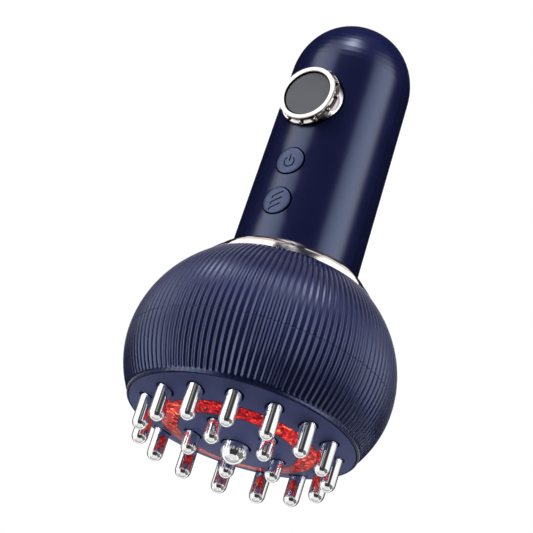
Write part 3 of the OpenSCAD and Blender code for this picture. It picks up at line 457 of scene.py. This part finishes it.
def trim_material():
    """Champagne plating of the collar and the dial, with a painted reflection on the collar and
    painted shade on the dial.
    """
    m = plated("trim_metal", (0.98, 0.92, 0.885), 0.07, 0.05, 0.12)
    x, y, z = m.axes()
    on_dial = m.step(z, BELOW_DIAL_Z, BELOW_DIAL_Z + 1.0)

    # Painted reflection: the collar's upper band is tinted browner, as in the photograph
    upper = m.times(m.step(z, COLLAR_STEP_Z, COLLAR_STEP_Z + 0.2),
                    m.step(z, COLLAR_TOP_Z, COLLAR_TOP_Z - 0.2))
    m.tint(m.times(upper, 0.85), (0.50, 0.40, 0.36))
    # Painted shade on the dial, by the mask above
    m.tint(dial_painted_shade(m, x, y, z, on_dial), (0.004, 0.004, 0.005))

    # The dial's round bezel shades as if it were flatter and faced the front
    m.lean(m.times(m.step(y, BEZEL_Y + 0.2, BEZEL_Y), on_dial), 0.7, (0, -1, 0))

    # The collar's lower band shades as slightly sloped and hollow
    up = m.span(z, COLLAR_LOW_Z, COLLAR_STEP_Z)
    rise = m.minus(m.times(up, 2.0), 1.0)
    m.bump(m.plus(m.times(rise, rise, 0.27), up), 0.0003)
    hairlines(m)
    return m


def film_material():
    """Amber film with its heater tracks showing through as fine waves."""
    amber = (0.45, 0.18, 0.02)
    m = Mat("heating_film", amber, 0.3)
    wave = m.add("ShaderNodeTexWave", wave_type="RINGS", rings_direction="Z")
    wave.inputs["Scale"].default_value = 130
    wave.inputs["Distortion"].default_value = 1.5
    m.link(m.coord, wave.inputs["Vector"])
    m.colour(m.ramp(wave.outputs["Fac"], [(0.35, amber), (0.6, (0.30, 0.13, 0.04))]))
    m.bump(wave.outputs["Fac"], 0.00002)
    return m


def board_material():
    """Green solder mask with lighter copper runs under it."""
    m = Mat("circuit_board", (0.01, 0.09, 0.03), 0.32)
    edge = m.cells(0.0022, feature="DISTANCE_TO_EDGE").outputs["Distance"]
    m.colour(m.ramp(edge, [(0.05, (0.03, 0.17, 0.06)), (0.12, (0.01, 0.085, 0.03))]))
    m.bump(edge, 0.00003)
    return m


def window_material():
    """Smoked display window: an even grey with a slight satin bloom, and painted shade round its
    rim.
    """
    m = Mat("window_glass", (0.1, 0.104, 0.118), 0.3, Specular_IOR_Level=0.35)
    stops = [(0.3, (0.095, 0.099, 0.112)), (0.7, (0.105, 0.109, 0.124))]
    m.colour(m.ramp(m.noise(0.006, 3), stops))
    x, _, z = m.axes()
    r = m.away(x, m.minus(z, DIAL_Z))
    # Painted shade at the rim, where the bezel meets the window
    m.darken(m.step(r, DIAL_BORE_R - 0.5, DIAL_BORE_R - 0.34), (0.002, 0.002, 0.002))
    m.rough(m.noise(0.002, 4), 0.27, 0.33)
    m.bump(m.noise(0.0005, 3), 0.000002)
    return m


def ring_material():
    """Clear red moulding lit from behind, whose crushed facets sparkle amber here and there."""
    m = Mat("light_ring", (0.06, 0.001, 0.002), 0.2, Specular_IOR_Level=0.06,
            Emission_Strength=1.0)
    facets = m.add("ShaderNodeSeparateColor")
    m.link(m.cells(0.0013).outputs["Color"], facets.inputs[0])
    wrinkle = m.noise(0.0011, 5, roughness=0.7)
    level = m.times(m.plus(m.times(facets.outputs[0], 0.6), 0.4), wrinkle)
    light = m.ramp(level, [
        (0.17, (0.03, 0.0, 0.001)), (0.27, (0.20, 0.002, 0.006)), (0.37, (0.6, 0.008, 0.016)),
        (0.46, (1.0, 0.03, 0.03)), (0.54, (1.0, 0.28, 0.07)), (0.62, (1.0, 0.7, 0.3))])
    x, y, _ = m.axes()
    r = m.away(x, y)
    # Painted shade darkens the ring's inner and outer edges
    seen = m.times(m.step(r, LIGHT_IN_R, LIGHT_IN_R + 0.55),
                   m.step(r, LIGHT_OUT_R, LIGHT_OUT_R - 0.6))
    lit = m.mix(seen, (0.02, 0.0, 0.001), light)

    # Painted shade: the side away from the camera glows dimmer, as in the photograph
    to_camera = (0.552, -0.834)
    side = m.plus(m.times(x, to_camera[0]), m.times(y, to_camera[1]))
    far_side_shade = m.times(m.step(side, 8.0, -14.0), 0.6)
    m.link(m.mix(far_side_shade, lit, (0.03, 0.004, 0.006)), m.shader.inputs["Emission Color"])
    m.bump(wrinkle, 0.00006)
    return m


def make_materials():
    """One material for each slot of the record, by the slot's name."""
    made = [
        head_material(), handle_material(), key_material(), pin_material(), trim_material(),
        film_material(), board_material(), window_material(), ring_material(),
        moulded("face_plastic", (0.037, 0.044, 0.118), 0.5, **SHEEN),
        moulded("chassis_plastic", (0.02, 0.02, 0.022), 0.5),
        moulded("plunger_plastic", (0.62, 0.55, 0.42), 0.45),
        moulded("gasket_rubber", (0.012, 0.012, 0.012), 0.7, grain=0.0004, depth=0.00002),
        moulded("lead_rubber", (0.42, 0.02, 0.02), 0.42),
        moulded("battery_sleeve", (0.02, 0.10, 0.30), 0.25, grain=0.002, depth=0.00004),
        sheet_metal("screw_steel", (0.62, 0.62, 0.64), 0.3),
        sheet_metal("bracket_steel", (0.50, 0.52, 0.55), 0.35, (6, 1, 1)),
        sheet_metal("motor_steel", (0.62, 0.62, 0.64), 0.28),
        sheet_metal("weight_brass", (0.60, 0.44, 0.18), 0.3, (8, 1, 1)),
        sheet_metal("socket_steel", (0.60, 0.60, 0.62), 0.25, (1, 8, 1)),
        sheet_metal("heater_aluminium", (0.72, 0.73, 0.75), 0.35, (10, 1, 1)),
    ]
    return {m.name: m.mat for m in made}


# ---------------------------------------------------------------- ribbed head

def head_radius(z):
    """Radius over the crests of the ribs."""
    dz = z - MID_Z
    return HEAD_R * math.sqrt(1 - (dz / (HEAD_LOW_B if dz < 0 else HEAD_TOP_B)) ** 2)


def smooth(t):
    t = min(max(t, 0.0), 1.0)
    return t * t * (3 - 2 * t)


def shell(name, levels, material):
    """Closed ribbed shell. Each level is a height, a radius over the crests, and a groove depth."""
    count = RIBS * RIB_SAMPLES
    index = np.arange(count)
    turn = index / count * 2 * math.pi
    groove = 0.5 - 0.5 * np.cos(2 * math.pi * (index % RIB_SAMPLES) / RIB_SAMPLES)
    verts, faces = [], []
    for k, (z, crest_r, depth) in enumerate(levels):
        r = crest_r - depth * groove
        verts.append(np.stack([r * np.cos(turn), r * np.sin(turn), np.full(count, z)], axis=1))
        a, b = k * count, ((k + 1) % len(levels)) * count
        for i in range(count):
            j = (i + 1) % count
            faces.append((a + i, a + j, b + j, b + i))
    mesh = bpy.data.meshes.new(name)
    mesh.from_pydata([tuple(v) for v in np.concatenate(verts) * MM], [], faces)
    mesh.validate()
    mesh.polygons.foreach_set("use_smooth", [True] * len(mesh.polygons))
    mesh.set_sharp_from_angle(angle=math.radians(SHARP_DEGREES))
    mesh.materials.append(material)
    obj = bpy.data.objects.new(name, mesh)
    scene.collection.objects.link(obj)
    return obj


def lower_levels():
    """Lower half: down the inside, round the lip, and up the ribs to the parting line."""
    top = MID_Z - HALF_GAP
    inner = [(z, head_radius(z) - HEAD_WALL, 0) for z in np.linspace(top, 15.5, 8)]
    inner += [(14.6, FACE_R, 0), (RIM_Z + 0.35, FACE_R, 0)]
    lip_r, half = (RIM_R + FACE_R) / 2, (RIM_R - FACE_R) / 2
    lip = []
    for a in np.linspace(math.pi, 2 * math.pi, 9):
        lip.append((RIM_Z + half + half * math.sin(a), lip_r + half * math.cos(a), 0))
    outer = [(RIM_Z + 0.6, RIM_R, 0), (RIB_LOW_Z - 0.1, RIM_R, 0)]
    fading = np.linspace(RIB_LOW_Z, RIB_LOW_Z + RIB_FADE, 7)
    full = np.linspace(RIB_LOW_Z + RIB_FADE + 0.3, top - EDGE_EASE, 34)
    for z in (*fading, *full):
        outer.append((z, head_radius(z), RIB_DEPTH * smooth((z - RIB_LOW_Z) / RIB_FADE)))
    outer += [(top - EDGE_EASE * 0.3, HEAD_R - 0.03, RIB_DEPTH),
              (top, HEAD_R - EDGE_EASE, RIB_DEPTH * 0.8)]
    return inner + lip + outer


def upper_levels():
    """Upper half: from the parting line up the ribs, which run out, and down the inside."""
    low = MID_Z + HALF_GAP
    outer = [(low, HEAD_R - EDGE_EASE, RIB_DEPTH * 0.8),
             (low + EDGE_EASE * 0.3, HEAD_R - 0.03, RIB_DEPTH)]
    for a in np.linspace(0.008, math.asin((RIB_TOP_Z - MID_Z) / HEAD_TOP_B), 56):
        depth = RIB_DEPTH * math.cos(a) ** 0.45
        outer.append((MID_Z + HEAD_TOP_B * math.sin(a), HEAD_R * math.cos(a), depth))
    inner = [(z, head_radius(z) - HEAD_WALL * 1.2, 0) for z in np.linspace(RIB_TOP_Z, low, 12)]
    return outer + inner


# ---------------------------------------------------------------- studio

def aim(turn, height, distance):
    """Place at a bearing from the camera's side and an elevation, in degrees."""
    a, e = math.radians(CAMERA_TURN + turn), math.radians(height)
    way = Vector((math.cos(a) * math.cos(e), math.sin(a) * math.cos(e), math.sin(e)))
    return STUDIO_CENTRE + way * distance


def light_of(name, strength, across, up, clear):
    """Even or graded light of a card. A clear card adds its light to what lies behind it."""
    mat = bpy.data.materials.new(name)
    tree = Tree(mat)
    out = tree.add("ShaderNodeOutputMaterial")
    emit = tree.add("ShaderNodeEmission")
    emit.inputs["Color"].default_value = WHITE
    emit.inputs["Strength"].default_value = strength
    if clear:
        both = tree.add("ShaderNodeAddShader")
        tree.link(emit.outputs[0], both.inputs[0])
        tree.link(tree.add("ShaderNodeBsdfTransparent").outputs[0], both.inputs[1])
        tree.link(both.outputs[0], out.inputs[0])
    else:
        tree.link(emit.outputs[0], out.inputs[0])
    if across or up:
        place = tree.split(tree.add("ShaderNodeUVMap", uv_map="span").outputs[0])
        grades = [tree.ramp(socket, [(at, (value, value, value)) for at, value in stops])
                  for stops, socket in zip((across, up), place) if stops]
        tree.link(tree.times(*grades, strength), emit.inputs["Strength"])
    return mat


def card(name, turns, heights, strength, distance=CARD_AT, steps=12, across=None, up=None,
         clear=False):
    """Curved card on a sphere round the object, seen only by its reflections and light.
    across and up grade its light along its width and height: each stop is a place and a share."""
    verts, faces = [], []
    row = steps + 1
    for j in range(row):
        for i in range(row):
            turn = turns[0] + (turns[1] - turns[0]) * (i / steps)
            height = heights[0] + (heights[1] - heights[0]) * (j / steps)
            verts.append(aim(turn, height, distance))
    for j in range(steps):
        for i in range(steps):
            a = j * row + i
            faces.append((a, a + row, a + row + 1, a + 1))
    mesh = bpy.data.meshes.new(name)
    mesh.from_pydata(verts, [], faces)
    layer = mesh.uv_layers.new(name="span")
    for loop in mesh.loops:
        j, i = divmod(loop.vertex_index, row)
        layer.data[loop.index].uv = (i / steps, j / steps)
    mesh.materials.append(light_of(name, strength, across, up, clear))
    obj = bpy.data.objects.new(name, mesh)
    scene.collection.objects.link(obj)
    obj.visible_camera = False
    obj.visible_shadow = False
    obj.visible_diffuse = False
    return obj


def flag(name, turns, heights, strength, **more):
    """Card that hides the white world from reflections."""
    return card(name, turns, heights, strength, distance=FLAG_AT, **more)


def clear_card(name, turns, heights, strength, **more):
    return card(name, turns, heights, strength, clear=True, **more)


def make_world():
    """White where the camera and reflections look, and a soft level for the rest."""
    world = bpy.data.worlds.new("studio")
    scene.world = world
    tree = Tree(world)
    out = tree.add("ShaderNodeOutputWorld")
    seen, soft = tree.add("ShaderNodeBackground"), tree.add("ShaderNodeBackground")
    for node, level in ((seen, 1.0), (soft, WORLD_LEVEL)):
        node.inputs["Color"].default_value = WHITE
        node.inputs["Strength"].default_value = level
    rays = tree.add("ShaderNodeLightPath").outputs
    looking = tree.most(rays["Is Camera Ray"], rays["Is Glossy Ray"], rays["Is Transmission Ray"])
    tree.either(looking, soft, seen, out)


def make_floor():
    """Pale floor under the pins. It is seen from above only, and fades out into the white."""
    corners = [(-1, -1), (1, -1), (1, 1), (-1, 1)]
    mesh = bpy.data.meshes.new("floor")
    mesh.from_pydata([(u * FLOOR_HALF, v * FLOOR_HALF, FLOOR_Z) for u, v in corners], [],
                     [(0, 1, 2, 3)])
    mat = bpy.data.materials.new("floor")
    tree = Tree(mat)
    out = tree.add("ShaderNodeOutputMaterial")
    clear, pale = tree.add("ShaderNodeBsdfTransparent"), tree.add("ShaderNodeBsdfDiffuse")
    pale.inputs["Color"].default_value = (0.93, 0.93, 0.93, 1)
    place = tree.add("ShaderNodeNewGeometry").outputs
    camera_ray = tree.add("ShaderNodeLightPath").outputs["Is Camera Ray"]
    from_above = tree.times(tree.minus(1.0, place["Backfacing"]), camera_ray)
    length = tree.add("ShaderNodeVectorMath", operation="LENGTH")
    tree.link(place["Position"], length.inputs[0])
    fade = tree.step(length.outputs["Value"], *FLOOR_FADE, 1.0, 0.0)
    tree.either(tree.times(from_above, fade), clear, pale, out)
    mesh.materials.append(mat)
    floor = bpy.data.objects.new("floor", mesh)
    scene.collection.objects.link(floor)
    floor.visible_shadow = False


def lamp(name, turn, height, size, power):
    """Soft lamp for the matt part of the surfaces; what shines reflects the cards instead."""
    data = bpy.data.lights.new(name, "AREA")
    data.shape, data.size, data.energy = "DISK", size, power
    obj = bpy.data.objects.new(name, data)
    obj.location = aim(turn, height, CARD_AT)
    obj.rotation_mode = "QUATERNION"
    obj.rotation_quaternion = (obj.location - STUDIO_CENTRE).to_track_quat("Z", "Y")
    obj.visible_glossy = False
    obj.visible_camera = False
    scene.collection.objects.link(obj)


def make_flags():
    """Grey and black cards, which every piece mirrors."""
    flag("front_flag", (-41, 34), (-54, 42), 0.04)
    flag("left_flag", (-172, -95), (-16, 42), 0.006)
    flag("right_flag", (87, 172), (-16, 42), 0.006)
    flag("back_flag", (172, 188), (14, 42), 0.003)
    flag("back_low", (150, 210), (-14, 13), 0.55)
    flag("back_under", (115, 245), (-80, -40), 1.0, up=[(0.0, 0.7), (1.0, 0.35)])
    flag("front_under", (-115, 115), (-88, -55), 0.8)
    flag("right_under", (34, 110), (-46, -7), 0.18)
    flag("crown_front", (-90, 90), (42, 89), 0.15, steps=24, up=[(0.0, 0.27), (0.3, 1.0)])
    flag("crown_back", (90, 270), (42, 89), 0.003, steps=24)


def satin_cards():
    """The long soft highlights of the satin plastics."""
    return [
        clear_card("left_soft", (-92, -41), (-50, 62), CARD_LIGHT * 1.7,
                   across=[(0.0, 0.05), (0.1, 0.4), (0.3, 0.77), (0.7, 0.77), (0.9, 0.6),
                           (1.0, 0.3)],
                   up=[(0.0, 1.0), (0.35, 1.0), (0.5, 0.59), (0.68, 0.59), (1.0, 0.0)]),
        clear_card("right_soft", (31, 83), (-8, 62), CARD_LIGHT,
                   across=[(0.0, 0.4), (0.25, 0.8), (0.5, 1.0), (0.7, 0.97), (0.88, 0.7),
                           (1.0, 0.2)],
                   up=[(0.0, 1.0), (0.5, 1.0), (1.0, 0.0)]),
        clear_card("right_low", (62, 112), (-36, -7), 4.5),
        clear_card("top_soft", (-74, 14), (42, 80), CARD_LIGHT * 3.8, distance=TOP_AT,
                   across=[(0.0, 0.0), (0.22, 0.12), (0.4, 0.7), (0.5, 1.0), (0.6, 0.7),
                           (0.78, 0.12), (1.0, 0.0)],
                   up=[(0.0, 0.0), (0.2, 0.08), (0.4, 0.7), (0.5, 1.0), (0.6, 0.75), (0.8, 0.12),
                       (1.0, 0.0)]),
    ]


def metal_cards():
    """Weak white strips and windows, which only the metals mirror."""
    return [
        clear_card("left_white", (-150, -95), (-16, 48), 1.05,
                   across=[(0.0, 0.02), (0.15, 0.12), (0.4, 0.35), (0.62, 0.8), (0.75, 1.0),
                           (1.0, 1.0)]),
        clear_card("right_white", (87, 145), (-16, 48), 1.05,
                   across=[(0.0, 1.0), (0.2, 0.85), (0.5, 0.35), (0.8, 0.06), (1.0, 0.0)]),
        clear_card("front_lines", (-41, 34), (-12, 42), 0.3,
                   across=[(0.0, 0.9), (0.07, 0.3), (0.13, 0.0), (0.22, 0.0), (0.29, 1.0),
                           (0.36, 1.0), (0.41, 0.4), (0.48, 0.35), (0.56, 0.0), (0.85, 0.0),
                           (0.95, 0.5), (1.0, 1.0)]),
        clear_card("left_window", (-174, -100), (43, 85), 1.15),
        clear_card("right_window", (100, 174), (43, 85), 1.15),
        clear_card("left_lift", (-95, -43), (-12, 45), 0.25, distance=LIFT_AT),
    ]


def head_cards():
    """Faint light from behind and above on the ribs of the head."""
    return [clear_card("crown_soft", (75, 285), (8, 89), 1.0, distance=CROWN_AT, steps=24,
                       up=[(0.0, 0.8), (0.6, 1.0)])]


def make_studio(materials):
    make_world()
    make_floor()
    make_flags()
    groups = (("satin_pieces", satin_cards(), SATIN), ("metal_pieces", metal_cards(), METAL),
              ("head_pieces", head_cards(), HEAD))
    for name, cards, slots in groups:
        group = bpy.data.collections.new(name)
        kinds = [materials[slot] for slot in slots]
        for obj in list(scene.objects):
            if any(slot.material in kinds for slot in obj.material_slots):
                group.objects.link(obj)
        for obj in cards:
            obj.light_linking.receiver_collection = group
    lamp("left_lamp", -52, 46, 0.7, LAMP_LEVEL)
    lamp("right_lamp", 42, 46, 0.7, LAMP_LEVEL)
    lamp("top_lamp", -10, 80, 0.6, LAMP_LEVEL * 0.6)
    lamp("low_lamp", 150, -66, 1.6, LAMP_LEVEL * 1.1)


# ---------------------------------------------------------------- build

materials = make_materials()
for row in frame["record"]["subparts"]:
    obj = nodes[row["node"]]
    for slot in obj.material_slots:
        slot.material = materials[row["material_slot"]]

for node, levels in (("lower_housing", lower_levels()), ("upper_housing", upper_levels())):
    piece = shell(node + "_ribbed", levels, materials["head_plastic"])
    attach(piece, "brush")
    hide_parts(node)

make_studio(materials)
make_camera()
scene.view_settings.view_transform = "Standard"
